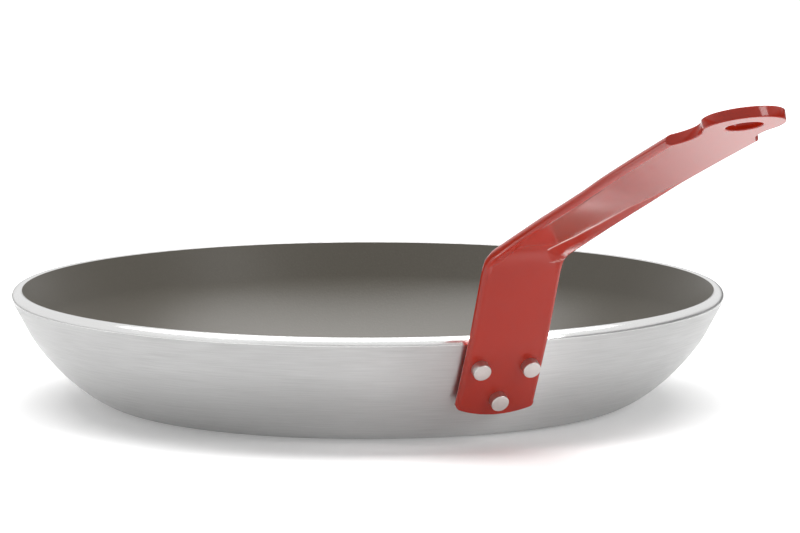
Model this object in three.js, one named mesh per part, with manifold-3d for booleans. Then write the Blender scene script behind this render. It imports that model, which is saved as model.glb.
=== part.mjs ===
// A nonstick frying pan: a thick pressed aluminium dish with a bare rounded lip, a nonstick coating
// inside it, and a handle bent from one painted steel strip, held by three solid aluminium rivets.
// Millimetres, +Z up. The origin is the centre of the base's underside and the handle points along +X.
import * as THREE from "three";
import { mergeVertices } from "three/addons/utils/BufferGeometryUtils.js";
import Module from "manifold-3d";

const wasm = await Module();
wasm.setup();
const radians = THREE.MathUtils.degToRad;

// Dish, pressed from a disc
const lipRadius = 140; // outside of the lip
const dishHeight = 44.5; // table to the top of the lip
const wallThickness = 5;
const baseRadius = 98; // flat part of the underside
const flankAngle = radians(62); // straight upper wall, measured from the table
const flankLength = 14; // straight upper wall, from the lip downwards
const basePull = 0.52; // how far the wall's curve keeps to the base line
const flankPull = 0.41; // how far it keeps to the flank line
const lipLift = 0.45; // how far the coated edge stands past square at the lip
const coatingThickness = 0.1; // built up in several sprayed coats

// Strip that the handle is bent from, with mill-rounded long edges
const stripThickness = 4;
const plateWidth = 31.6; // on the wall and as far as the folds reach
const gripWidth = 35; // at the far end of the grip
const plateDrop = 30.3; // lip corner down to the strip's lower end, along the flank
const plateGap = 0.1; // wall to strip on its middle line
const plateEndRadius = 39; // shallow arc that the lower end is cut to
const plateCornerRadius = 2;
const kneeRise = 4; // straight on past the lip corner before the knee
const kneeRadius = 60;
const kneeTurn = radians(4); // how much steeper the neck is than the wall
const neckLength = 23.2;
const bendRadius = 20;
const gripAngle = radians(21.3); // where the grip leaves the bend
const gripDroop = radians(2.2); // how much it levels out along its length
const gripLength = 169; // bend to the start of the flat hanging tab
const foldAngle = radians(15.5); // long edges pressed down for stiffness
const foldDepth = 2; // edges below the middle at the bend
const foldSink = 0.3; // share of that by which the edges sink, while the middle lifts by the rest
const foldEntry = 10; // end of the bend, over which the folds deepen
const foldLength = 70; // bend to where the folds start to run out
const foldEndDepth = 0.7; // what is left of them there
const foldRunOut = 18;
const endSpare = 6; // stock left on at both ends until they are cut to shape

// Hanging tab cut at the end of the grip
const tabLength = 28; // end of the grip's curve to the middle of the hole
const lobeRadius = 14.5;
const notchDepth = 2.7; // neck narrower than the lobe, on each side
const notchRadius = 20;
const hangingHoleDiameter = 13;

// Rivets
const shankDiameter = 6;
const shankClearance = 0.25; // shank to its holes, all round
const outerHeadOverhang = 0.95; // head past the shank, all round
const outerHeadHeight = 2.6;
const outerHeadChamfer = 0.65;
const innerHeadOverhang = 3;
const innerHeadHeight = 2.2;
const seatGap = 0.05; // rivet head to what it bears on
const rivetSpread = 20; // between the two upper rivets
const upperRivetRise = 22.3; // above the strip's lower end
const lowerRivetRise = 7.5;

// Fineness of the round surfaces
const dishSegments = 64;
const wallSteps = 8;
const lipSteps = 5;
const edgeSteps = 6;
const roundSegments = 24;
const outlineSegments = 14;

// Solids from geometry, for joining and cutting

function solidOf(geometry) {
  const bare = new THREE.BufferGeometry();
  bare.setAttribute("position", geometry.getAttribute("position"));
  bare.setIndex(geometry.index);
  const merged = mergeVertices(bare, 1e-5);
  const corners = merged.index.array;
  const kept = [];
  for (let i = 0; i < corners.length; i += 3) {
    const [a, b, c] = corners.slice(i, i + 3);
    if (a !== b && b !== c && c !== a) kept.push(a, b, c);
  }
  return new wasm.Manifold(
    new wasm.Mesh({
      numProp: 3,
      vertProperties: merged.getAttribute("position").array,
      triVerts: new Uint32Array(kept),
    }),
  );
}

function geometryOf(solid) {
  const mesh = solid.getMesh();
  const geometry = new THREE.BufferGeometry();
  geometry.setAttribute("position", new THREE.BufferAttribute(mesh.vertProperties, 3));
  geometry.setIndex(new THREE.BufferAttribute(mesh.triVerts, 1));
  geometry.computeVertexNormals();
  return geometry;
}

// A closed outline of (radius, height) points turned about the Z axis.
function turned(outline, segments) {
  return new THREE.LatheGeometry(outline, segments).rotateX(Math.PI / 2);
}

// A plate of the given thickness either side of its outline's plane, put in place by a matrix.
function blanked(outline, halfThickness, place) {
  const settings = { depth: 2 * halfThickness, bevelEnabled: false, curveSegments: outlineSegments };
  const plate = new THREE.ExtrudeGeometry(outline, settings).translate(0, 0, -halfThickness);
  return solidOf(plate.applyMatrix4(place));
}

// A round bar along local Z, put in place by a matrix.
function bar(radius, halfLength, place) {
  const rod = new THREE.CylinderGeometry(radius, radius, 2 * halfLength, roundSegments);
  return solidOf(rod.rotateX(Math.PI / 2).applyMatrix4(place));
}

// The dish

const flankDirection = new THREE.Vector2(Math.cos(flankAngle), Math.sin(flankAngle));
const flankInward = new THREE.Vector2(-flankDirection.y, flankDirection.x);

// The lip is rounded over by an arc that starts upright at the wall's outer corner and ends where the
// coating stops.
const lipChord = flankInward
  .clone()
  .multiplyScalar(wallThickness)
  .addScaledVector(flankDirection, lipLift);
const lipRound = lipChord.lengthSq() / (-2 * lipChord.x);
const lipCorner = new THREE.Vector2(lipRadius, dishHeight - lipRound);
const lipCentre = new THREE.Vector2(lipRadius - lipRound, lipCorner.y);

// The wall's curve runs from the edge of the flat base to the foot of the flank, level at one end
// and along the flank at the other. The two directions meet on the base line.
function wallCurve() {
  const baseEdge = new THREE.Vector2(baseRadius, 0);
  const flankFoot = lipCorner.clone().addScaledVector(flankDirection, -flankLength);
  const meeting = new THREE.Vector2(flankFoot.x - flankFoot.y / Math.tan(flankAngle), 0);
  const lower = baseEdge.clone().lerp(meeting, basePull);
  const upper = flankFoot.clone().lerp(meeting, flankPull);
  return new THREE.CubicBezierCurve(baseEdge, lower, upper, flankFoot);
}

// Where a line set in from the flank by some depth meets the lip's rounding.
function lipEdge(depth) {
  const from = lipCorner.clone().addScaledVector(flankInward, depth).sub(lipCentre);
  const half = from.dot(flankDirection);
  const reach = Math.sqrt(half * half - from.lengthSq() + lipRound * lipRound) - half;
  return from.addScaledVector(flankDirection, reach).add(lipCentre);
}

// The wall's surface at some depth in from its outside: from the axis, out over the base, up to the lip.
function wallSurface(depth) {
  const curve = wallCurve();
  const points = [new THREE.Vector2(0, depth)];
  for (let i = 0; i <= wallSteps; i++) {
    const along = curve.getTangent(i / wallSteps);
    const inward = new THREE.Vector2(-along.y, along.x);
    points.push(curve.getPoint(i / wallSteps).addScaledVector(inward, depth));
  }
  points.push(depth > 0 ? lipEdge(depth) : lipCorner.clone());
  return points;
}

function dishOutline() {
  const outside = wallSurface(0);
  const inside = wallSurface(wallThickness);
  const innerEdge = inside[inside.length - 1].clone().sub(lipCentre).angle();
  const lip = [];
  for (let i = 1; i < lipSteps; i++) {
    const angle = (innerEdge * i) / lipSteps;
    const round = new THREE.Vector2(Math.cos(angle), Math.sin(angle));
    lip.push(round.multiplyScalar(lipRound).add(lipCentre));
  }
  return [...outside, ...lip, ...inside.reverse()];
}

function coatingOutline() {
  const bonded = wallSurface(wallThickness);
  const cooking = wallSurface(wallThickness + coatingThickness);
  return [...bonded, ...cooking.reverse()];
}

// The space inside the coated dish, which a rivet's inner head is formed against.
function wellOutline() {
  const surface = wallSurface(wallThickness + coatingThickness + seatGap);
  const mouth = surface[surface.length - 1];
  return [...surface, new THREE.Vector2(0, mouth.y)];
}

// The strip's middle line, in the plane Y = 0

const halfStrip = stripThickness / 2;
const neckAngle = flankAngle + kneeTurn;
const bendLength = bendRadius * (neckAngle - gripAngle);
const kneeLength = kneeRadius * kneeTurn;
const straightPlate = plateDrop + kneeRise;
const bendStart = straightPlate + kneeLength + neckLength;
const gripStart = bendStart + bendLength;
const foldFade = gripStart + foldLength;
const foldEnd = foldFade + foldRunOut;
const gripEnd = gripStart + gripLength;
const droopRate = -gripDroop / gripLength;

// Each stretch is straight, or an arc that turns at some rate: length, turn per length and steps.
const stretches = [
  [endSpare + straightPlate, 0, 1],
  [kneeLength, 1 / kneeRadius, 3],
  [neckLength, 0, 1],
  [bendLength - foldEntry, -1 / bendRadius, 3],
  [foldEntry, -1 / bendRadius, 6],
  [foldLength, droopRate, 5],
  [foldRunOut, droopRate, 4],
  [gripEnd - foldEnd, droopRate, 3],
  [tabLength + lobeRadius + endSpare, 0, 1],
];

function lowerEnd() {
  return lipCorner
    .clone()
    .addScaledVector(flankDirection, -plateDrop)
    .addScaledVector(flankInward, -plateGap - halfStrip);
}

// Points on the middle line with the strip's direction and its length from the lower end.
function walkStrip() {
  let at = lowerEnd().addScaledVector(flankDirection, -endSpare);
  let heading = flankAngle;
  let length = -endSpare;
  const stations = [{ at, heading, length }];
  for (const [run, rate, steps] of stretches) {
    const half = (run * rate) / steps / 2;
    const chord = (run / steps) * (half === 0 ? 1 : Math.sin(half) / half);
    for (let i = 0; i < steps; i++) {
      const way = new THREE.Vector2(Math.cos(heading + half), Math.sin(heading + half));
      at = at.clone().addScaledVector(way, chord);
      heading += 2 * half;
      length += run / steps;
      stations.push({ at, heading, length });
    }
  }
  return stations;
}

const stations = walkStrip();

// The frame at a length along a straight stretch: local X along the strip, Y across it, Z to the pan's side.
function placeOnStrip(length, across) {
  const { at, heading, length: known } = stations.findLast((station) => station.length <= length);
  const x = at.x + Math.cos(heading) * (length - known);
  const z = at.y + Math.sin(heading) * (length - known);
  const turn = new THREE.Matrix4().makeRotationY(-heading);
  return new THREE.Matrix4().makeTranslation(x, across, z).multiply(turn);
}

// The handle

// The strip keeps its width as far as the folds reach, then flares evenly to the end of the grip.
function halfWidthAt(length) {
  const share = THREE.MathUtils.clamp((length - foldEnd) / (gripEnd - foldEnd), 0, 1);
  return THREE.MathUtils.lerp(plateWidth, gripWidth, share) / 2;
}

// How far the folds put the strip's edges below its middle: they deepen over the end of the bend, grow
// shallower along the grip, and then run out.
function foldDepthAt(length) {
  const entered = THREE.MathUtils.clamp((length - gripStart) / foldEntry + 1, 0, 1);
  const along = THREE.MathUtils.clamp((length - gripStart) / foldLength, 0, 1);
  const left = 1 - THREE.MathUtils.smoothstep(length, foldFade, foldEnd);
  return entered * left * THREE.MathUtils.lerp(foldDepth, foldEndDepth, along);
}

// One section across the strip: flat or folded faces between two half-round edges, as (across, up) pairs.
function section(length) {
  const middle = halfWidthAt(length) - halfStrip;
  const depth = foldDepthAt(length);
  const low = -foldSink * depth;
  const high = low + depth;
  const leastFold = stripThickness / 4;
  const fold = middle - Math.max(depth / Math.tan(foldAngle), leastFold);
  const faces = [
    [-middle, low],
    [-fold, high],
    [fold, high],
    [middle, low],
  ];
  const ring = faces.map(([y, up]) => [y, up - halfStrip]);
  for (let i = 1; i < edgeSteps; i++) {
    const angle = Math.PI * (i / edgeSteps - 0.5);
    ring.push([middle + halfStrip * Math.cos(angle), low + halfStrip * Math.sin(angle)]);
  }
  ring.push(...faces.reverse().map(([y, up]) => [y, up + halfStrip]));
  for (let i = 1; i < edgeSteps; i++) {
    const angle = Math.PI * (i / edgeSteps + 0.5);
    ring.push([-middle + halfStrip * Math.cos(angle), low + halfStrip * Math.sin(angle)]);
  }
  return ring;
}

// The bent strip before its ends are cut: sections joined along the middle line, with a fan at each end.
function bentStrip() {
  const rings = stations.map(({ at, heading, length }) =>
    section(length).map(([y, up]) => [at.x - Math.sin(heading) * up, y, at.y + Math.cos(heading) * up]),
  );
  const count = rings[0].length;
  const index = [];
  for (let i = 0; i + 1 < rings.length; i++) {
    for (let j = 0; j < count; j++) {
      const a = i * count + j;
      const b = i * count + ((j + 1) % count);
      index.push(a, b, b + count, a, b + count, a + count);
    }
  }
  const last = (rings.length - 1) * count;
  for (let j = 1; j + 1 < count; j++) {
    index.push(0, j + 1, j);
    index.push(last, last + j, last + j + 1);
  }
  const geometry = new THREE.BufferGeometry();
  geometry.setAttribute("position", new THREE.Float32BufferAttribute(rings.flat(2), 3));
  geometry.setIndex(index);
  return solidOf(geometry);
}

// What is cut away at the lower end, which leaves a shallow arc with rounded corners. The arc's lowest
// point is the origin and the strip runs along +X.
function lowerOffcut() {
  const half = plateWidth / 2;
  const side = half + endSpare;
  const inset = half - plateCornerRadius;
  const span = plateEndRadius - plateCornerRadius;
  const cornerX = plateEndRadius - Math.sqrt(span * span - inset * inset);
  const sweep = Math.asin(inset / span);
  const shape = new THREE.Shape();
  shape.moveTo(cornerX, side);
  shape.lineTo(cornerX, half);
  shape.absarc(cornerX, inset, plateCornerRadius, Math.PI / 2, Math.PI - sweep, false);
  shape.absarc(plateEndRadius, 0, plateEndRadius, Math.PI - sweep, Math.PI + sweep, false);
  shape.absarc(cornerX, -inset, plateCornerRadius, Math.PI + sweep, 1.5 * Math.PI, false);
  shape.lineTo(cornerX, -side);
  shape.lineTo(-2 * endSpare, -side);
  shape.lineTo(-2 * endSpare, side);
  shape.closePath();
  return shape;
}

// What is cut away round the hanging tab: a notch on each side that flows into the round lobe.
// The lobe's middle is the origin.
function tabOffcut() {
  const side = gripWidth / 2 + stripThickness;
  const notchY = lobeRadius - notchDepth + notchRadius;
  const between = lobeRadius + notchRadius;
  const notchX = -Math.sqrt(between * between - notchY * notchY);
  const meeting = Math.atan2(notchY, notchX);
  const entry = Math.asin((side - notchY) / notchRadius);
  const end = lobeRadius + 2 * endSpare;
  const shape = new THREE.Shape();
  shape.moveTo(end, -side);
  shape.lineTo(end, side);
  shape.absarc(notchX, notchY, notchRadius, Math.PI - entry, meeting + Math.PI, false);
  shape.absarc(0, 0, lobeRadius, meeting, -meeting, true);
  shape.absarc(notchX, -notchY, notchRadius, Math.PI - meeting, Math.PI + entry, false);
  shape.closePath();
  return shape;
}

const holeMiddle = gripEnd + tabLength;
const rivets = [
  ["rivet_left", upperRivetRise, -rivetSpread / 2],
  ["rivet_right", upperRivetRise, rivetSpread / 2],
  ["rivet_lower", lowerRivetRise, 0],
];

// The holes that all three rivets pass through, drilled square to the strip.
function drillRivetHoles(piece) {
  const radius = shankDiameter / 2 + shankClearance;
  const reach = 4 * (stripThickness + wallThickness);
  return rivets.reduce(
    (left, [, rise, across]) => left.subtract(bar(radius, reach, placeOnStrip(rise, across))),
    piece,
  );
}

function handleSolid() {
  const tab = placeOnStrip(holeMiddle, 0);
  const strip = bentStrip()
    .subtract(blanked(lowerOffcut(), stripThickness, placeOnStrip(0, 0)))
    .subtract(blanked(tabOffcut(), stripThickness, tab))
    .subtract(bar(hangingHoleDiameter / 2, stripThickness, tab));
  return drillRivetHoles(strip);
}

// The rivets

// How far along a rivet's line, from the strip's middle, the coated inside of the dish lies.
function depthOfWell(place) {
  const surface = wallSurface(wallThickness + coatingThickness);
  const inside = (depth) => {
    const point = new THREE.Vector3(0, 0, depth).applyMatrix4(place);
    const above = surface.findIndex((step) => step.y > point.z);
    const [low, high] = [surface[above - 1], surface[above]];
    const share = (point.z - low.y) / (high.y - low.y);
    return Math.hypot(point.x, point.y) < THREE.MathUtils.lerp(low.x, high.x, share);
  };
  let near = halfStrip;
  let far = halfStrip + 2 * wallThickness;
  for (let i = 0; i < 30; i++) {
    const depth = (near + far) / 2;
    if (inside(depth)) far = depth;
    else near = depth;
  }
  return far;
}

// A chamfered head on the strip and the shank behind it, along local Z.
function shankOutline(bottom) {
  const shank = shankDiameter / 2;
  const head = shank + outerHeadOverhang;
  const seat = -halfStrip - seatGap;
  const face = seat - outerHeadHeight;
  return [
    new THREE.Vector2(0, face),
    new THREE.Vector2(head - outerHeadChamfer, face),
    new THREE.Vector2(head, face + outerHeadChamfer),
    new THREE.Vector2(head, seat),
    new THREE.Vector2(shank, seat),
    new THREE.Vector2(shank, bottom),
    new THREE.Vector2(0, bottom),
  ];
}

// A low dome inside the dish, with stock below it that the dish's surface then trims.
function domeOutline(surface) {
  const head = shankDiameter / 2 + innerHeadOverhang;
  const domeSteps = 4;
  const outline = [new THREE.Vector2(0, surface - wallThickness / 2)];
  for (let i = 0; i <= domeSteps; i++) {
    const angle = (Math.PI / 2) * (i / domeSteps);
    const height = surface + innerHeadHeight * Math.sin(angle);
    outline.push(new THREE.Vector2(head * Math.cos(angle), height));
  }
  outline.splice(1, 0, new THREE.Vector2(head, surface - wallThickness / 2));
  return outline;
}

function rivetSolid(rise, across) {
  const place = placeOnStrip(rise, across);
  const surface = depthOfWell(place);
  const shank = turned(shankOutline(surface + innerHeadHeight / 2), roundSegments);
  const dome = turned(domeOutline(surface), roundSegments);
  const well = solidOf(turned(wellOutline(), dishSegments));
  const innerHead = solidOf(dome.applyMatrix4(place)).intersect(well);
  return solidOf(shank.applyMatrix4(place)).add(innerHead);
}

// The assembly

const aluminium = { color: 0xcfcdc9, roughness: 0.35, metalness: 1 };
const nonstick = { color: 0x4b4a47, roughness: 0.55, metalness: 0.1 };
const redPaint = { color: 0xa5372f, roughness: 0.25, metalness: 0 };
const rivetMetal = { color: 0xc9c3be, roughness: 0.4, metalness: 1 };

const fryingPan = new THREE.Group();
fryingPan.name = "frying_pan";

function addPiece(name, solid, finish) {
  const piece = new THREE.Mesh(geometryOf(solid), new THREE.MeshStandardMaterial(finish));
  piece.name = name;
  fryingPan.add(piece);
}

addPiece("pan_body", drillRivetHoles(solidOf(turned(dishOutline(), dishSegments))), aluminium);
addPiece("nonstick_coating", drillRivetHoles(solidOf(turned(coatingOutline(), dishSegments))), nonstick);
addPiece("handle", handleSolid(), redPaint);
for (const [name, rise, across] of rivets) addPiece(name, rivetSolid(rise, across), rivetMetal);

export default fryingPan;
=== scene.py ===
from math import asin, atan, atan2, cos, hypot, pi, radians, sin, sqrt, tan

import bmesh
import bpy
import numpy as np
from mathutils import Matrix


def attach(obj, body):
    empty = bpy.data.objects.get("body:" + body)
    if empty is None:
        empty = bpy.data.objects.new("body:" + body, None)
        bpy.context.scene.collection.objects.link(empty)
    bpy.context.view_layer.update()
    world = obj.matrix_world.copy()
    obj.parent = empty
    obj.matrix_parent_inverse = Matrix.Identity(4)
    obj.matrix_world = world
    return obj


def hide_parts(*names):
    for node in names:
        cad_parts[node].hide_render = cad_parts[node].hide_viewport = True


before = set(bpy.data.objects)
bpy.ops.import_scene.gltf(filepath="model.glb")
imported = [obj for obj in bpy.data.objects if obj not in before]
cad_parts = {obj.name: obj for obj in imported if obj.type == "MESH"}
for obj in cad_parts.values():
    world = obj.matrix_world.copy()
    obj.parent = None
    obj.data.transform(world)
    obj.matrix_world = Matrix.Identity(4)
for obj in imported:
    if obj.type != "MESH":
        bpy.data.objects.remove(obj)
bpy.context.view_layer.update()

# The dish: a thick aluminium disc pressed to a flat base and a flared wall. Its outside is brushed
# round the axis, its underside is faced on a lathe, and its lip is rounded over and polished bright.

mm = 0.001
lip_radius = 140 * mm
dish_height = 44.5 * mm
wall = 5 * mm
base_radius = 98 * mm
flank_angle = radians(62)
flank_length = 14 * mm
base_pull, flank_pull = 0.52, 0.41
lip_lift = 0.45 * mm

flank = np.array([cos(flank_angle), sin(flank_angle)])
inward = np.array([-flank[1], flank[0]])
lip_chord = wall * inward + lip_lift * flank
lip_round = lip_chord @ lip_chord / (-2 * lip_chord[0])
lip_corner = np.array([lip_radius, dish_height - lip_round])
lip_centre = lip_corner - [lip_round, 0]


def lip_edge(depth):
    """Where a line set in from the flank by a depth meets the lip's circle: the far root of a
    quadratic."""
    start = lip_corner + depth * inward - lip_centre
    half = start @ flank
    reach = sqrt(half**2 - start @ start + lip_round**2) - half
    return start + reach * flank + lip_centre


def wall_line(depth, steps=56, flank_steps=8):
    """The wall at a depth from its outside, as (radius, height): a cubic Bezier from the base's edge to
    the flank's foot, each point moved in along the curve's normal, then the flank up to the lip."""
    foot = lip_corner - flank_length * flank
    base_edge = np.array([base_radius, 0])
    meeting = np.array([foot[0] - foot[1] / tan(flank_angle), 0])
    lower = base_edge + base_pull * (meeting - base_edge)
    upper = foot + flank_pull * (meeting - foot)
    t = np.linspace(0, 1, steps)[:, None]
    s = 1 - t
    curve = s**3 * base_edge + 3 * s**2 * t * lower + 3 * s * t**2 * upper + t**3 * foot
    along = s**2 * (lower - base_edge) + 2 * s * t * (upper - lower) + t**2 * (foot - upper)
    along /= np.linalg.norm(along, axis=1, keepdims=True)
    curve = curve + depth * np.stack([-along[:, 1], along[:, 0]], 1)
    top = lip_edge(depth) if depth else lip_corner
    share = np.linspace(0, 1, flank_steps + 1)[1:, None]
    return np.vstack([curve, curve[-1] + share * (top - curve[-1])])


def floor_line(depth, rings=10):
    """The flat of the base at a depth, from the axis outwards, with its rings evenly spaced."""
    radius = np.linspace(0, base_radius, rings, endpoint=False)
    return np.stack([radius, np.full(rings, depth)], 1)


def side_line(depth):
    """One side of the dish at a depth from its outside: the flat of the base, then the wall."""
    return np.vstack([floor_line(depth), wall_line(depth)])


def lip_arc(depth, steps=20):
    """The lip's circle from the wall's outer corner over the top to where the inside starts."""
    end = lip_edge(depth) - lip_centre
    angle = np.linspace(0, atan2(end[1], end[0]), steps)[1:-1]
    return lip_centre + lip_round * np.stack([np.cos(angle), np.sin(angle)], 1)


def grid_faces(rows, columns, round_rows=False):
    """Quads between neighbouring points of a grid. With round_rows the last row joins the first."""
    index = np.arange(rows * columns).reshape(rows, columns)
    if round_rows:
        index = np.vstack([index, index[:1]])
    corners = [index[:-1, :-1], index[:-1, 1:], index[1:, 1:], index[1:, :-1]]
    return np.stack(corners, -1).reshape(-1, 4)


def turned(outline, segments=288):
    """An outline of (radius, height) points carried round the Z axis: x = r cos a, y = r sin a."""
    angle = np.linspace(0, 2 * pi, segments, endpoint=False)[:, None]
    radius, height = outline[:, 0], outline[:, 1]
    x, y = radius * np.cos(angle), radius * np.sin(angle)
    points = np.stack([x, y, np.broadcast_to(height, x.shape)], -1)
    run = np.concatenate([[0], np.cumsum(np.linalg.norm(np.diff(outline, axis=0), axis=1))])
    faces = grid_faces(segments, len(outline), round_rows=True)
    return points.reshape(-1, 3), faces, np.broadcast_to(run, x.shape).ravel()


def add_piece(name, points, faces, trace, crease, material, slot, *nodes):
    """A mesh from whole arrays: points, quads, and the trace, a number at each point that the material
    reads as an attribute. Poles and seams within the weld are merged, faces turned out, and edges past
    the crease angle kept sharp."""
    weld = 0.002 * mm
    mesh = bpy.data.meshes.new(name)
    mesh.vertices.add(len(points))
    mesh.vertices.foreach_set("co", points.astype(np.float32).ravel())
    mesh.loops.add(faces.size)
    mesh.loops.foreach_set("vertex_index", faces.astype(np.int32).ravel())
    mesh.polygons.add(len(faces))
    mesh.polygons.foreach_set("loop_start", np.arange(0, faces.size, 4, dtype=np.int32))
    mesh.update(calc_edges=True)
    mesh.attributes.new("trace", "FLOAT", "POINT").data.foreach_set("value", trace.astype(np.float32))
    edit = bmesh.new()
    edit.from_mesh(mesh)
    bmesh.ops.remove_doubles(edit, verts=edit.verts, dist=weld)
    bmesh.ops.recalc_face_normals(edit, faces=edit.faces)
    edit.to_mesh(mesh)
    edit.free()
    mesh.shade_smooth()
    mesh.set_sharp_from_angle(angle=crease)
    mesh.materials.append(material)
    piece = bpy.data.objects.new(name, mesh)
    bpy.context.scene.collection.objects.link(piece)
    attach(piece, "root")
    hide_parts(*nodes)


class Wire:
    """A socket in a material. Arithmetic on it adds Math nodes, and add() puts in any other node."""

    def __init__(self, tree, socket=None):
        self.tree = tree
        self.socket = socket

    def add(self, kind, inputs=(), settings=(), output=0):
        """A node of some kind: its settings first, then a value or a wire for each of its sockets."""
        node = self.tree.nodes.new(kind)
        for name, value in dict(settings).items():
            setattr(node, name, value)
        for name, value in dict(inputs).items():
            if isinstance(value, Wire):
                self.tree.links.new(value.socket, node.inputs[name])
            else:
                node.inputs[name].default_value = value
        return Wire(self.tree, node.outputs[output]) if node.outputs else node

    def maths(self, operation, first, second=0.0):
        """A Math node on one number or two."""
        return self.add("ShaderNodeMath", {0: first, 1: second}, {"operation": operation})

    def __add__(self, other):
        return self.maths("ADD", self, other)

    def __sub__(self, other):
        return self.maths("SUBTRACT", self, other)

    def __rsub__(self, other):
        return self.maths("SUBTRACT", other, self)

    def __mul__(self, other):
        return self.maths("MULTIPLY", self, other)

    def __truediv__(self, other):
        return self.maths("DIVIDE", self, other)

    __radd__ = __add__
    __rmul__ = __mul__

    def step(self, low, high):
        """0 below low, 1 above high, and smooth between."""
        settings = {"interpolation_type": "SMOOTHSTEP"}
        return self.add("ShaderNodeMapRange", {0: self, 1: low, 2: high}, settings)

    def vector(self, x, y, z):
        """A vector of three numbers."""
        return self.add("ShaderNodeCombineXYZ", {0: x, 1: y, 2: z})

    def split(self):
        """The three numbers of a vector."""
        node = self.tree.nodes.new("ShaderNodeSeparateXYZ")
        self.tree.links.new(self.socket, node.inputs[0])
        return [Wire(self.tree, socket) for socket in node.outputs]

    def mixed(self, first, second):
        """The first colour where this wire is 0, the second where it is 1."""
        opaque = [c if isinstance(c, Wire) else (*c, 1) for c in (first, second)]
        inputs = {0: self, 6: opaque[0], 7: opaque[1]}
        return self.add("ShaderNodeMix", inputs, {"data_type": "RGBA"}, 2)

    def noise(self, at, detail=2.0):
        """Cloudy noise from 0 to 1 with features one unit wide."""
        return self.add("ShaderNodeTexNoise", {"Vector": at, "Scale": 1.0, "Detail": detail})

    def grain(self, size, detail=2.0):
        """Cloudy noise on this place with features of one size in metres."""
        return self.noise(self.vector(*[c / size for c in self.split()]), detail)

    def bump(self, height, depth):
        """A normal from a height of 0 to 1 that stands for a depth in metres."""
        return self.add("ShaderNodeBump", {"Height": height, "Strength": 1.0, "Distance": depth})


def empty_tree(owner):
    """A wire to start from in the emptied nodes of a material or a world."""
    owner.use_nodes = True
    owner.node_tree.nodes.clear()
    return Wire(owner.node_tree)


def new_material(name):
    """The Object coordinates and the trace of an empty material, and a function that finishes it."""
    material = bpy.data.materials.new(name)
    start = empty_tree(material)
    place = start.add("ShaderNodeTexCoord", output=3)
    trace = start.add("ShaderNodeAttribute", settings={"attribute_name": "trace"}, output=2)

    def finish(inputs):
        surface = start.add("ShaderNodeBsdfPrincipled", inputs)
        start.add("ShaderNodeOutputMaterial", {"Surface": surface})
        return material

    return place, trace, finish


def round_lines(place, run, turn, width):
    """Noise drawn out round the axis: coordinates on a circle of a few units, and the length along the
    outline over a width."""
    x, y, _ = place.split()
    level_place = place.vector(x, y, 0.0)
    radius = place.add("ShaderNodeVectorMath", {0: level_place}, {"operation": "LENGTH"}, 1)
    return place.noise(place.vector(x / radius * turn, y / radius * turn, run / width), detail=3.0)


def brushed_aluminium(lip_start, lip_end):
    """Satin metal with fine and broad lines round the axis, and a bright lip without lines."""
    pale, dark, bright = (0.69, 0.689, 0.686), (0.535, 0.533, 0.529), (0.94, 0.938, 0.934)
    fine_width, broad_width, cloud_size = 0.22 * mm, 1.1 * mm, 45 * mm
    fine_turn, broad_turn = 9.0, 3.0
    lip_rough, satin_rough, line_rough = 0.19, 0.34, 0.2
    lip_blend = 0.2 * mm
    line_depth = 0.02 * mm
    place, run, finish = new_material("brushed aluminium")
    lip = run.step(lip_start - lip_blend, lip_start) * (1 - run.step(lip_end, lip_end + lip_blend))
    brushed = 1 - lip
    fine = round_lines(place, run, fine_turn, fine_width).step(0.2, 0.8)
    broad = round_lines(place, run, broad_turn, broad_width).step(0.15, 0.85)
    lines = fine * 0.75 + broad * 0.25
    satin = (lines * 0.5 + place.grain(cloud_size) * 0.2).mixed(pale, dark)
    return finish(
        {
            "Base Color": lip.mixed(satin, bright),
            "Metallic": 1.0,
            "Roughness": brushed * (satin_rough - lip_rough + lines * line_rough) + lip_rough,
            "Anisotropic": 0.95,
            "Anisotropic Rotation": 0.25,
            "Normal": place.bump(lines * brushed, line_depth),
        }
    )


outside, inside = side_line(0), side_line(wall)
dish_points, dish_faces, dish_run = turned(np.vstack([outside, lip_arc(wall), inside[::-1]]))
lip_start = dish_run[len(outside) - 1]
lip_end = dish_run[len(outside) + len(lip_arc(wall))]
dish_metal = brushed_aluminium(lip_start, lip_end)
dish_crease = radians(18)
add_piece(
    "dish", dish_points, dish_faces, dish_run, dish_crease, dish_metal, "brushed_aluminium", "pan_body"
)

# The nonstick coating: several thin dark coats sprayed and baked onto the inside of the dish. It stops
# in a clean line where the lip's rounding starts.

coating = 0.1 * mm


def nonstick():
    """A dark satin coat with the fine peel of a sprayed film, soft clouds and pale flecks."""
    dark, pale = (0.059, 0.051, 0.037), (0.089, 0.079, 0.06)
    peel_size, cloud_size, fleck_size = 0.9 * mm, 30 * mm, 0.35 * mm
    peel_depth = 0.03 * mm
    place, _, finish = new_material("nonstick coating")
    peel = place.grain(peel_size, detail=3.0)
    cloud = place.grain(cloud_size)
    fleck = place.grain(fleck_size, detail=0.0).step(0.62, 0.75)
    return finish(
        {
            "Base Color": (peel * 0.25 + cloud * 0.35 + fleck * 0.4).mixed(dark, pale),
            "Roughness": 0.33 + peel * 0.1,
            "IOR": 1.5,
            "Normal": place.bump(peel, peel_depth),
        }
    )


cooking = side_line(wall + coating)
coat_points, coat_faces, coat_run = turned(np.vstack([inside, cooking[::-1]]))
coat_crease = radians(30)
add_piece(
    "coating", coat_points, coat_faces, coat_run, coat_crease, nonstick(), "nonstick", "nonstick_coating"
)

# The handle: one steel strip with rounded long edges. It is blanked with a hanging tab, bent up off the
# wall and out, pressed along both edges for stiffness, and given a glossy red baked coat all over. A pale
# highlight is painted into the coat along one crease of the lower face and on a short askew line by it.

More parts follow.
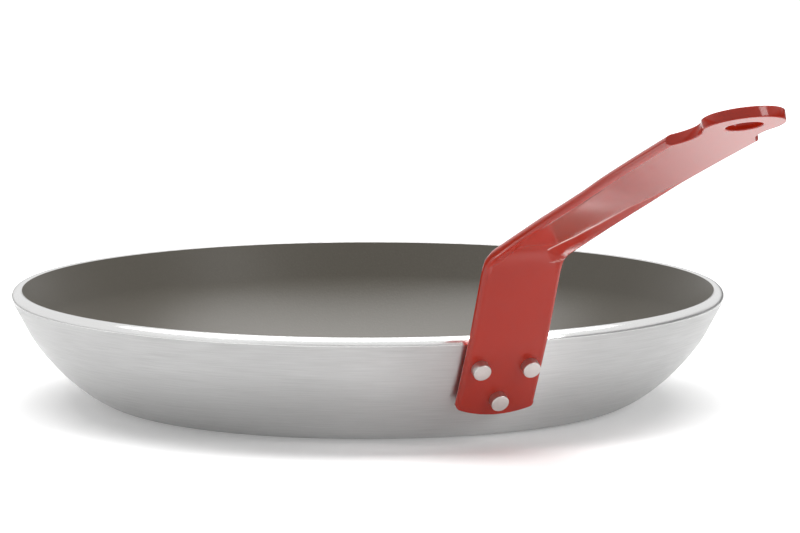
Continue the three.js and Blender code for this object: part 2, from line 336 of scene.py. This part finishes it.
half_strip = 2 * mm
plate_half = 15.8 * mm
grip_half = 17.5 * mm
plate_drop = 30.3 * mm
plate_gap = 0.1 * mm
plate_end_radius = 39 * mm
plate_corner_radius = 2 * mm
plate_rise = 4 * mm
knee_radius, knee_turn = 60 * mm, radians(4)
neck_length = 23.2 * mm
bend_radius = 20 * mm
grip_angle, grip_droop = radians(21.3), radians(2.2)
grip_length = 169 * mm
fold_lengths = np.array([68, 70, 76, 96, 118, 147, 166]) * mm
fold_widths = np.array([1, 4.3, 7.1, 4.2, 3.1, 3, 1]) * mm
fold_lift, lift_start, lift_full, lift_fade = 2.3 * mm, 61 * mm, 79 * mm, 80 * mm
fold_sink, sink_entry, sink_fade = 0.5 * mm, 6 * mm, 160 * mm
fold_end = 188 * mm
flare_start = 165.3 * mm
crease_round, foot_round = 0.3 * mm, 1 * mm
# The painted highlight: the width of its line along the crease, and the short askew line near the ramp's
# start.
highlight_width = 0.3 * mm
entry_length, entry_across, entry_slant = 66.8 * mm, 10.35 * mm, 1.29
entry_middle, entry_half, entry_strength = 12.5 * mm, 2.2 * mm, 0.5
tab_length = 28 * mm
lobe_radius = 14.5 * mm
notch_depth = 2.7 * mm
notch_radius = 20 * mm
hole_radius = 6.5 * mm
cut_round, cut_share = 0.4 * mm, 0.4

bend_turn = flank_angle + knee_turn - grip_angle
stretches = np.array(
    [
        [plate_drop + plate_rise, 0],
        [knee_radius * knee_turn, knee_turn],
        [neck_length, 0],
        [bend_radius * bend_turn, -bend_turn],
        [grip_length, -grip_droop],
        [tab_length + lobe_radius, 0],
    ]
)
stretch_ends = np.cumsum(stretches[:, 0])
bend_start, grip_end = stretch_ends[2], stretch_ends[4]
hole_middle = grip_end + tab_length


def strip_line(length):
    """Points on the strip's middle line and its heading, at lengths from the lower end: each stretch is
    an arc, straight where it turns by nothing, and a chord reaches from its start to the point."""
    runs, turns = stretches.T
    starts = stretch_ends - runs
    headings = flank_angle + np.cumsum(turns) - turns
    chords = runs * np.sinc(turns / 2 / pi)
    ways = headings + turns / 2
    lower_end = lip_corner - plate_drop * flank - (plate_gap + half_strip) * inward
    corner_x = lower_end[0] + np.cumsum(chords * np.cos(ways)) - chords * np.cos(ways)
    corner_z = lower_end[1] + np.cumsum(chords * np.sin(ways)) - chords * np.sin(ways)
    on = np.clip(np.searchsorted(starts, length, side="right") - 1, 0, len(runs) - 1)
    past = length - starts[on]
    turned_by = turns[on] / runs[on] * past
    chord = past * np.sinc(turned_by / 2 / pi)
    way = headings[on] + turned_by / 2
    x, z = corner_x[on] + chord * np.cos(way), corner_z[on] + chord * np.sin(way)
    return x, z, headings[on] + turned_by


def smooth(share):
    """0 to 1 with level ends: 3 t squared less 2 t cubed."""
    share = np.clip(share, 0, 1)
    return share**2 * (3 - 2 * share)


def strip_half(length):
    """Half of the strip's width: even as far as the folds reach, then growing to the end of the grip."""
    share = np.clip((length - flare_start) / (grip_end - flare_start), 0, 1)
    return plate_half + share * (grip_half - plate_half)


def edge_sink(length):
    """How far the folds sink the strip's edges: down in a short step, level along the grip, and back
    up."""
    entered = smooth((length - fold_lengths[0]) / sink_entry)
    return fold_sink * entered * (1 - smooth((length - sink_fade) / (fold_end - sink_fade)))


def middle_lift(length):
    """How far the folds lift the strip's middle: up smoothly over the bend, and slowly back down."""
    entered = smooth((length - lift_start) / (lift_full - lift_start))
    return fold_lift * entered * (1 - smooth((length - lift_fade) / (fold_end - lift_fade)))


def fold_line(length):
    """How far from the strip's middle the crease of each fold lies."""
    return strip_half(length) - half_strip - np.interp(length, fold_lengths, fold_widths)


def bent(length, across, up):
    """A point of the flat strip carried onto the bent one: along the middle line, out across, and up off
    the middle surface. That falls from the crease to the edge by a ramp, which is half the difference of
    two hyperbolas: a tight one rounds its top and an easy one its foot."""
    crease = fold_line(length)
    edge = strip_half(length) - half_strip
    past, beyond = np.abs(across) - crease, np.abs(across) - edge
    top = past + np.sqrt(past**2 + crease_round**2)
    foot = beyond + np.sqrt(beyond**2 + foot_round**2)
    ramp = (top - foot) / 2 / (edge - crease)
    x, z, heading = strip_line(length)
    height = up + middle_lift(length) * (1 - ramp) - edge_sink(length) * ramp
    return np.stack([x - np.sin(heading) * height, across, z + np.cos(heading) * height], -1)


def painted_crease_highlight(length, across):
    """How strongly a pale highlight is painted on the lower face, on the right: 1 on the crease and less
    on a short line askew where the ramp starts, falling off as a bell to either side."""
    creased = np.exp(-(((across - fold_line(length)) / highlight_width) ** 2)) * (length > fold_lengths[2])
    askew = (length - entry_length - entry_slant * (across - entry_across)) / (2 * highlight_width)
    started = np.exp(-(askew**2)) * (np.abs(across - entry_middle) < entry_half)
    return np.maximum(creased * middle_lift(length) / fold_lift, entry_strength * started)


def half_thickness(length, across):
    """Half of the strip's thickness, which rounds off in a half circle along its long edges."""
    into = np.maximum(np.abs(across) - strip_half(length) + half_strip, 0)
    return np.sqrt(np.maximum(half_strip**2 - into**2, 0))


def arc(centre, radius, first, last, steps):
    """Points (length, across) on an arc between two angles, and the way out from its centre."""
    angle = np.linspace(first, last, steps)
    way = np.stack([np.cos(angle), np.sin(angle)], 1)
    return np.array(centre) + radius * way, way


def level(first, last, steps):
    """Points on the strip's middle, evenly spaced between two lengths."""
    return np.stack([np.linspace(first, last, steps), np.zeros(steps)], 1)


def half_blank():
    """One half of the flat blank as lines that run from its middle, or from the hole, out to its outline.
    Returns each line's inner point, outer point and way out across the outline, and the number of the
    first line that starts at the hole."""
    inset = plate_half - plate_corner_radius
    span = plate_end_radius - plate_corner_radius
    corner = plate_end_radius - sqrt(span**2 - inset**2)
    sweep = asin(inset / span)
    end_steps, bow_steps, notch_steps, lobe_steps = 40, 12, 40, 72
    end, end_way = arc((plate_end_radius, 0), plate_end_radius, pi, pi - sweep, end_steps)
    bow, bow_way = arc((corner, inset), plate_corner_radius, pi - sweep, pi / 2, bow_steps)

    notch_across = lobe_radius - notch_depth + notch_radius
    between = lobe_radius + notch_radius
    notch_back = sqrt(between**2 - notch_across**2)
    entry = pi + asin((notch_across - grip_half) / notch_radius)
    meeting = atan2(notch_across, -notch_back)
    fan_share = 0.6
    fan = entry + fan_share * (meeting + pi - entry)
    notch = (hole_middle - notch_back, notch_across)
    neck, neck_way = arc(notch, notch_radius, entry, fan, notch_steps)
    throat, throat_way = arc(notch, notch_radius, fan, meeting + pi, notch_steps)
    lobe, lobe_way = arc((hole_middle, 0), lobe_radius, meeting, 0, lobe_steps)

    side_start, side_end = corner, neck[0, 0]
    stops = [side_start, *stretch_ends[:2], lift_start, bend_start, *fold_lengths[:3], lift_full]
    stops += [*fold_lengths[3:6], sink_fade, *fold_lengths[6:], fold_end, grip_end, side_end]
    counts = [12, 6, 12, 2, 16, 8, 16, 6, 14, 14, 18, 8, 5, 14, 40, 4]
    lengths = [np.linspace(a, b, n, endpoint=False) for a, b, n in zip(stops, stops[1:], counts)]
    lengths = np.append(np.concatenate(lengths), side_end)
    side = np.stack([lengths, strip_half(lengths)], 1)

    centre = (hole_middle, 0)
    rim = hole_radius + cut_round
    outer = [end, bow[1:], side[1:], neck[1:], throat[1:], lobe[1:]]
    inner = [
        level(corner / 2, corner, len(end) + len(bow) - 1),
        np.stack([lengths[1:], 0 * lengths[1:]], 1) + [[corner - lengths[0], 0]],
        level(side_end, hole_middle - rim, len(neck))[1:],
        arc(centre, rim, pi, meeting, len(throat))[0][1:],
        arc(centre, rim, meeting, 0, len(lobe))[0][1:],
    ]
    side_way = np.tile([0.0, 1.0], (len(side) - 1, 1))
    way = [end_way, bow_way[1:], side_way, -neck_way[1:], -throat_way[1:], lobe_way[1:]]
    holed = len(np.vstack(outer)) - len(throat) - len(lobe) + 1
    return np.vstack(inner), np.vstack(outer), np.vstack(way), holed


def across_shares(length):
    """Where the lines of the mesh run across the strip, from 0 at its middle to 1 at its edge: evenly to
    the crease, close together over it, evenly to the rounded edge, and in even angles round that."""
    past = np.array([0.09, 0.18, 0.28, 0.4, 0.55, 0.9]) * mm
    near = np.concatenate([-past[::-1], [0], past])
    flat_lines, slope_lines, edge_lines = 6, 2, 13
    crease = fold_line(length)[:, None]
    edge = strip_half(length)[:, None] - half_strip
    flat = np.linspace(0, 1, flat_lines, endpoint=False) * (crease + near[0])
    slope_share = np.linspace(0, 1, slope_lines + 2)[1:-1]
    slope = crease + near[-1] + slope_share * np.maximum(edge - crease - near[-1], 0)
    angle = np.linspace(0, pi / 2, edge_lines)
    rounded = edge + half_strip * np.sin(angle)
    lines = [flat, np.minimum(crease + near, edge), np.minimum(slope, edge), rounded]
    return np.hstack(lines) / (edge + half_strip)


def corner_profile(steps=5):
    """A rounded cut edge as (outwards, downwards) shares of its rounding: a quarter circle."""
    angle = np.linspace(0, pi / 2, steps)
    return np.stack([np.sin(angle), 1 - np.cos(angle)], 1)


def handle_skin():
    """The whole skin of the handle, and the share of a painted highlight at each point. Each line of the
    blank is a row: it crosses the upper face, turns over the edge, and comes back across the lower face.
    Rows at the hole go down its wall as well, and the other half is the same with its across turned
    round."""
    inner, outer, way, holed = half_blank()
    rounding = np.minimum(cut_round, cut_share * half_thickness(outer[:, 0], outer[:, 1]))
    rim = outer - rounding[:, None] * way
    share = across_shares(np.clip(outer[:, 0], plate_corner_radius, grip_end))[:, :, None]
    face = inner[:, None] + share * (rim - inner)[:, None]
    face_up = half_thickness(face[..., 0], face[..., 1])

    profile = corner_profile()[1:]
    out = rim[:, None] + (rounding[:, None] * profile[:, 0])[..., None] * way[:, None]
    drop = face_up[:, -1:] - rounding[:, None] * profile[:, 1]
    row = np.concatenate([face, out, out[:, ::-1], face[:, ::-1]], axis=1)
    row_up = np.concatenate([face_up, drop, -drop[:, ::-1], -face_up[:, ::-1]], axis=1)

    centre = np.array([hole_middle, 0])
    at_hole = inner[holed:]
    hole_way = (centre - at_hole) / np.linalg.norm(centre - at_hole, axis=1, keepdims=True)
    well = at_hole[:, None] + (cut_round * corner_profile()[:, 0])[:, None] * hole_way[:, None]
    well_up = np.broadcast_to(half_strip - cut_round * corner_profile()[:, 1], well.shape[:2])
    bore = np.concatenate([well, well[:, ::-1]], axis=1)
    bore_up = np.concatenate([well_up, -well_up[:, ::-1]], axis=1)

    points, faces, painted_highlights, count = [], [], [], 0
    for grid, up in ((row, row_up), (bore, bore_up)):
        for side in (1, -1):
            placed = bent(grid[..., 0], side * grid[..., 1], up)
            points.append(placed.reshape(-1, 3))
            # Only the lower face carries the painted highlight.
            painted_highlights.append((painted_crease_highlight(grid[..., 0], side * grid[..., 1]) * (up < 0)).ravel())
            faces.append(grid_faces(*grid.shape[:2]) + count)
            count += len(points[-1])
    return np.vstack(points), np.vstack(faces), np.concatenate(painted_highlights)


def red_coat():
    """Glossy red with a slight orange peel, and a pale pink highlight painted along one crease of the
    lower face.
    """
    # The third colour is the pale pink of the painted highlight.
    deep, light, highlight_tint = (0.42, 0.019, 0.0055), (0.46, 0.022, 0.007), (1.0, 0.74, 0.68)
    peel_size, cloud_size = 2.2 * mm, 25 * mm
    peel_depth = 0.004 * mm
    place, painted_highlight, finish = new_material("red baked coat")
    peel = place.grain(peel_size, detail=1.0)
    cloud = place.grain(cloud_size)
    return finish(
        {
            "Base Color": painted_highlight.mixed(cloud.mixed(deep, light), highlight_tint),
            "Roughness": 0.1 + cloud * 0.05,
            "IOR": 1.47,
            "Normal": place.bump(peel, peel_depth),
        }
    )


# The handle's trace is the share of its painted highlight at each point.
handle_points, handle_faces, handle_painted_highlights = handle_skin()
handle_crease = radians(32)
add_piece(
    "handle_strip",
    handle_points,
    handle_faces,
    handle_painted_highlights,
    handle_crease,
    red_coat(),
    "red_coated_steel",
    "handle",
)

# The rivets: three solid aluminium rivets through strip, wall and coating. Outside, each has a short
# round head with a chamfer. Inside, each is set to a low dome against the coating.

shank_radius = 3 * mm
outer_head = 3.45 * mm
outer_height = 3.4 * mm
outer_chamfer = 0.4 * mm
outer_crown = 0.18 * mm
inner_head = 6 * mm
inner_height = 2.2 * mm
inner_rise, inner_skirt = 0.1 * mm, 0.8 * mm
seat_gap = 0.05 * mm
rivet_spread = 20 * mm
upper_rise, lower_rise = 22.3 * mm, 7.5 * mm


def rivet_metal():
    """Satin metal as the heading tool leaves it, with a fine grain and soft clouds."""
    pale, dark = (0.69, 0.66, 0.638), (0.56, 0.528, 0.508)
    grain_size, cloud_size = 0.25 * mm, 2.5 * mm
    grain_depth = 0.02 * mm
    place, _, finish = new_material("rivet aluminium")
    grain = place.grain(grain_size, detail=3.0)
    cloud = place.grain(cloud_size)
    return finish(
        {
            "Base Color": cloud.mixed(pale, dark),
            "Metallic": 1.0,
            "Roughness": 0.3 + grain * 0.16,
            "Normal": place.bump(grain, grain_depth),
        }
    )


def rivet_line(well_depth):
    """A rivet's outline as (radius, depth): a slightly crowned face, a rounded chamfer, the head's side,
    the shank, and a dome that is a quarter ellipse."""
    top_rings, chamfer_rings, dome_rings = 10, 7, 14
    seat = -half_strip - seat_gap
    face = seat - outer_height
    land = outer_head - outer_chamfer
    radius = np.linspace(0, land, top_rings)
    top = np.stack([radius, face - outer_crown * (1 - (radius / land) ** 2)], 1)
    angle = np.linspace(0, pi / 2, chamfer_rings + 1)[1:]
    chamfer = [land, face] + outer_chamfer * np.stack([np.sin(angle), 1 - np.cos(angle)], 1)
    dome_angle = np.linspace(0, pi / 2, dome_rings)
    base = well_depth + inner_rise
    dome = np.stack([inner_head * np.cos(dome_angle), base + inner_height * np.sin(dome_angle)], 1)
    shank = [[outer_head, seat], [shank_radius, seat], [shank_radius, base]]
    return np.vstack([top, chamfer, shank, [[inner_head, base - inner_skirt]], dome])


def rivet_skin(rise, across):
    """A rivet's outline turned about its own line, which is square to the strip. The dome's depth is the
    first of many probed along that line that lies inside the coating."""
    probes, segments = 400, 64
    x, z, heading = (value[0] for value in strip_line(np.array([rise])))
    start = np.array([x, across, z])
    axis = np.array([-sin(heading), 0, cos(heading)])
    along = np.array([cos(heading), 0, sin(heading)])
    sideways = np.array([0, 1, 0])
    inside_line = wall_line(wall + coating)
    depths = np.linspace(half_strip, half_strip + 2 * wall, probes)[:, None]
    probe = start + depths * axis
    radius = np.interp(probe[:, 2], inside_line[:, 1], inside_line[:, 0])
    well_depth = depths[np.argmax(np.hypot(probe[:, 0], probe[:, 1]) < radius), 0]
    points, faces, run = turned(rivet_line(well_depth), segments)
    placed = start + points[:, :1] * along + points[:, 1:2] * sideways + points[:, 2:] * axis
    return placed, faces, run


metal = rivet_metal()
rivet_crease = radians(35)
rivets = {
    "rivet_left": (upper_rise, -rivet_spread / 2),
    "rivet_right": (upper_rise, rivet_spread / 2),
    "rivet_lower": (lower_rise, 0.0),
}
for node, place_on_strip in rivets.items():
    rivet_points, rivet_faces, rivet_run = rivet_skin(*place_on_strip)
    name = node.replace("rivet", "rivet_head")
    add_piece(name, rivet_points, rivet_faces, rivet_run, rivet_crease, metal, "rivet_aluminium", node)

# The stage: a white matt table that runs on out of view, in a white room of soft light that is dim on
# the right, with one wide lamp overhead and a smaller one at the front on the right.

table_half = 8.0
table_shade, table_end_shade = 0.9, 0.225
near_glow, far_glow, side_glow = 0.205, 0.62, 0.07
mirror_glow, front_glow = 0.13, 0.08
far_span, aside_span, ended_span = (0.25, 1.2), (0.06, 0.13), (0.26, 0.36)
front_left, front_right, front_near = (-0.08, 0.02), (0.04, 0.1), (0.04, 0.1)
camera_heading = radians(-21.37)


def from_camera(x, y):
    """How far a place, or a way in the room, lies to the front and to the right as the camera stands."""
    front = x * cos(camera_heading) + y * sin(camera_heading)
    right = y * cos(camera_heading) - x * sin(camera_heading)
    return front, right


def table_top():
    """Matt white that takes the shadow and glows up to white for the camera. In reflections the table
    glows a little in front of the dish, and ends dark to either side."""
    material = bpy.data.materials.new("white table")
    start = empty_tree(material)
    place = start.add("ShaderNodeTexCoord", output=3)
    away = start.add("ShaderNodeVectorMath", {0: place}, {"operation": "LENGTH"}, 1)
    far = away.step(*far_span)
    x, y, _ = place.split()
    front, right = from_camera(x, y)
    sideways = start.maths("ABSOLUTE", right)
    aside = sideways.step(*aside_span)
    ended = sideways.step(*ended_span)
    before = right.step(*front_left) * (1 - right.step(*front_right)) * front.step(*front_near)
    seen = start.add("ShaderNodeLightPath", output=0)
    mirrored = start.add("ShaderNodeLightPath", output=3)
    paint = (mirrored * ended).mixed([table_shade] * 3, [table_end_shade] * 3)
    lit = start.add("ShaderNodeBsdfDiffuse", {"Color": paint})
    shown = near_glow + far * (far_glow - near_glow) + aside * side_glow
    strength = mirrored * (mirror_glow + before * front_glow) + seen * shown
    glow = start.add("ShaderNodeEmission", {"Strength": strength})
    both = start.add("ShaderNodeAddShader", {0: lit, 1: glow})
    start.add("ShaderNodeOutputMaterial", {"Surface": both})
    return material


table_mesh = bpy.data.meshes.new("table")
table_corners = [(-table_half, -table_half, 0), (table_half, -table_half, 0)]
table_corners += [(table_half, table_half, 0), (-table_half, table_half, 0)]
table_mesh.from_pydata(table_corners, [], [(0, 1, 2, 3)])
table_mesh.materials.append(table_top())
table = bpy.data.objects.new("table", table_mesh)
bpy.context.scene.collection.objects.link(table)

room_light, room_dim, dim_span = 0.5, 0.92, (-0.9, 0.4)
sidewards, forwards = 0.8, 0.6
low_depth, low_span, low_rise = 0.8, (-0.2, 0.5), (0.12, 0.3)
back_depth, back_span, back_rise = 0.9, (0.3, 0.8), (0.02, 0.12)

world = bpy.data.worlds.new("white room")
bpy.context.scene.world = world
room = empty_tree(world)
x, y, z = room.add("ShaderNodeTexCoord", output=0).split()
front, right = from_camera(x, y)
seen = room.add("ShaderNodeLightPath", output=0)
mirrored = room.add("ShaderNodeLightPath", output=3)
front_side = right * sidewards + front * forwards
back_side = right * sidewards - front * forwards
low_dark = front_side.step(*low_span) * (1 - z.step(*low_rise)) * low_depth
back_dark = back_side.step(*back_span) * (1 - z.step(*back_rise)) * back_depth
soft = (1 - seen - mirrored) * room_light * (1 - right.step(*dim_span) * room_dim)
strength = seen + mirrored * (1 - low_dark) * (1 - back_dark) + soft
background = room.add("ShaderNodeBackground", {"Strength": strength})
room.add("ShaderNodeOutputWorld", {"Surface": background})


def lamp(name, width, height, power, at, aim):
    """A rectangular soft lamp at a place, facing a point."""
    light = bpy.data.lights.new(name, "AREA")
    light.shape = "RECTANGLE"
    light.size, light.size_y = width, height
    light.energy = power
    source = bpy.data.objects.new(name, light)
    away = np.array(at) - np.array(aim)
    source.location = at
    source.rotation_euler = (atan2(hypot(away[0], away[1]), away[2]), 0, atan2(away[0], -away[1]))
    bpy.context.scene.collection.objects.link(source)


lamp("overhead", width=2.1, height=1.2, power=37.5, at=(-0.25, 0.06, 1.5), aim=(0, 0, 0))
lamp("front_right", width=0.7, height=0.9, power=12.5, at=(1.75, 1.15, 1.1), aim=(0.15, 0, 0.05))

# The camera: a long lens a few paces off and a little above the pan, with the handle towards it on the
# right. It is aimed so that the middle of the dish's mouth lands where the photograph has it.

camera_distance = 2.5
camera_height = 0.39263
image_width, image_height = 800, 533
focal_pixels = 6423.83
mouth_height = 44.11 * mm
mouth_pixel = (367.63, 287.84)

sensor_width = 36.0
camera_x, camera_y = camera_distance * cos(camera_heading), camera_distance * sin(camera_heading)
camera_at = np.array([camera_x, camera_y, camera_height])
to_mouth = np.array([0, 0, mouth_height]) - camera_at
pixels_left, pixels_down = image_width / 2 - mouth_pixel[0], mouth_pixel[1] - image_height / 2
yaw = atan2(-to_mouth[0], to_mouth[1]) - atan(pixels_left / focal_pixels)
pitch = atan2(to_mouth[2], hypot(to_mouth[0], to_mouth[1])) + atan(pixels_down / focal_pixels)
camera_data = bpy.data.cameras.new("camera")
camera_data.sensor_width = sensor_width
camera_data.lens = sensor_width * focal_pixels / image_width
camera = bpy.data.objects.new("camera", camera_data)
camera.location = camera_at
camera.rotation_euler = (pi / 2 + pitch, 0, yaw)
bpy.context.scene.collection.objects.link(camera)
bpy.context.scene.camera = camera
bpy.context.scene.view_settings.view_transform = "Standard"
